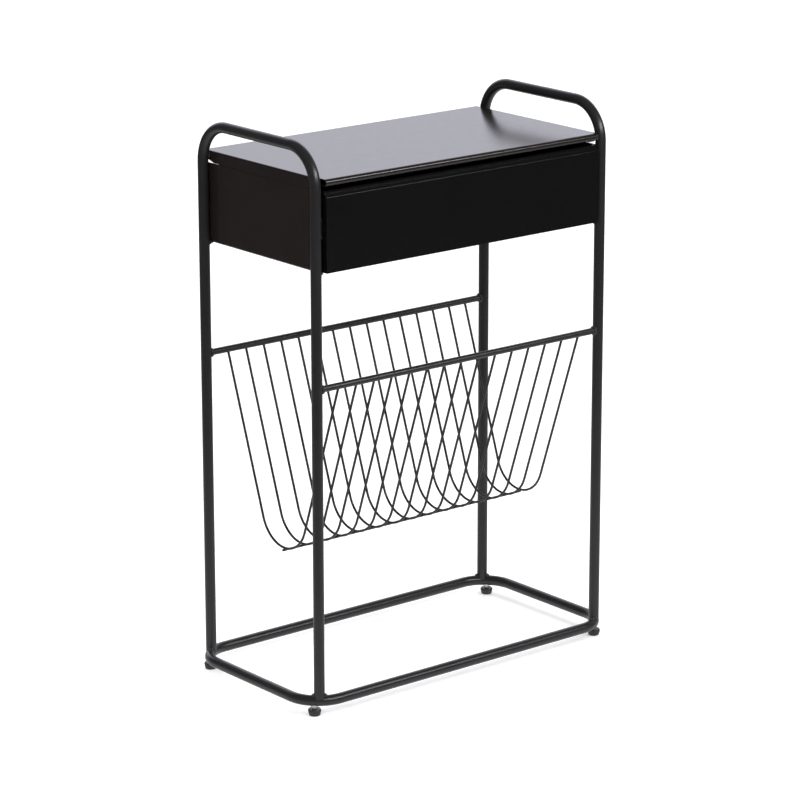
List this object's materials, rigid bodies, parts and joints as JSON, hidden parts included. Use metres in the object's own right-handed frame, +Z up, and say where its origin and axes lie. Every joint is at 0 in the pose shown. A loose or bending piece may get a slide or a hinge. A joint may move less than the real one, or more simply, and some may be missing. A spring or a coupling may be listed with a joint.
{
  "type": "side table with drawer",
  "caption": "Black steel side table with raised hoop handles, one shallow drawer under a thin top plate and a wire magazine rack below.",
  "frame": {"origin": "middle of the table, on the floor under the four feet", "axes": "+X along the length, -Y towards the drawer side, +Z up"},
  "size_m": [0.484, 0.2454, 0.687],
  "materials": {
    "tube_paint": "satin black powder coat on tube",
    "wire_paint": "satin black powder coat on wire",
    "sheet_paint": "smooth satin black powder coat on sheet",
    "drawer_paint": "smooth satin black powder coat on sheet",
    "weld_paint": "powder-coated weld bead",
    "runner_zinc": "zinc-plated rolled steel",
    "zinc": "bright zinc plating",
    "nylon": "natural nylon",
    "bumper_rubber": "soft black rubber",
    "foot_plastic": "moulded black plastic"
  },
  "bodies": {
    "frame": {"left_hoop": "tube_paint", "right_hoop": "tube_paint", "base_ring": "tube_paint", "top_plate": "sheet_paint", "box_wrap": "sheet_paint", "box_back": "sheet_paint", "runner_left": "runner_zinc", "runner_right": "runner_zinc", "front_glide_left": "nylon", "front_glide_right": "nylon", "rear_bumpers": "bumper_rubber", "rear_rail": "tube_paint", "front_rail": "tube_paint", "basket_wire_01": "wire_paint", "basket_wire_02": "wire_paint", "basket_wire_03": "wire_paint", "basket_wire_04": "wire_paint", "basket_wire_05": "wire_paint", "basket_wire_06": "wire_paint", "basket_wire_07": "wire_paint", "basket_wire_08": "wire_paint", "basket_wire_09": "wire_paint", "basket_wire_10": "wire_paint", "basket_wire_11": "wire_paint", "basket_wire_12": "wire_paint", "basket_wire_13": "wire_paint", "basket_wire_14": "wire_paint", "basket_wire_15": "wire_paint", "rack_rod": "wire_paint", "foot_inserts": "zinc", "leg_welds": "weld_paint", "rail_welds": "weld_paint", "box_welds": "weld_paint", "plate_welds": "weld_paint"},
    "drawer": {"drawer_front": "drawer_paint", "drawer_tray": "drawer_paint", "drawer_screws": "zinc", "slide_left": "runner_zinc", "slide_right": "runner_zinc", "slide_rivets": "zinc", "rear_glide_left": "nylon", "rear_glide_right": "nylon"},
    "foot_front_left": {"foot_stud_1": "zinc", "foot_pad_1": "foot_plastic"},
    "foot_front_right": {"foot_stud_2": "zinc", "foot_pad_2": "foot_plastic"},
    "foot_back_right": {"foot_stud_3": "zinc", "foot_pad_3": "foot_plastic"},
    "foot_back_left": {"foot_stud_4": "zinc", "foot_pad_4": "foot_plastic"}
  },
  "joints": [
    {"name": "drawer_slide", "type": "slide", "parent": "frame", "child": "drawer", "axis": [0, -1, 0], "range_m": [0, 0.165]},
    {"name": "foot_front_left_height", "type": "slide", "parent": "frame", "child": "foot_front_left", "axis": [0, 0, -1], "range_m": [-0.0025, 0.004]},
    {"name": "foot_front_right_height", "type": "slide", "parent": "frame", "child": "foot_front_right", "axis": [0, 0, -1], "range_m": [-0.0025, 0.004]},
    {"name": "foot_back_right_height", "type": "slide", "parent": "frame", "child": "foot_back_right", "axis": [0, 0, -1], "range_m": [-0.0025, 0.004]},
    {"name": "foot_back_left_height", "type": "slide", "parent": "frame", "child": "foot_back_left", "axis": [0, 0, -1], "range_m": [-0.0025, 0.004]}
  ]
}
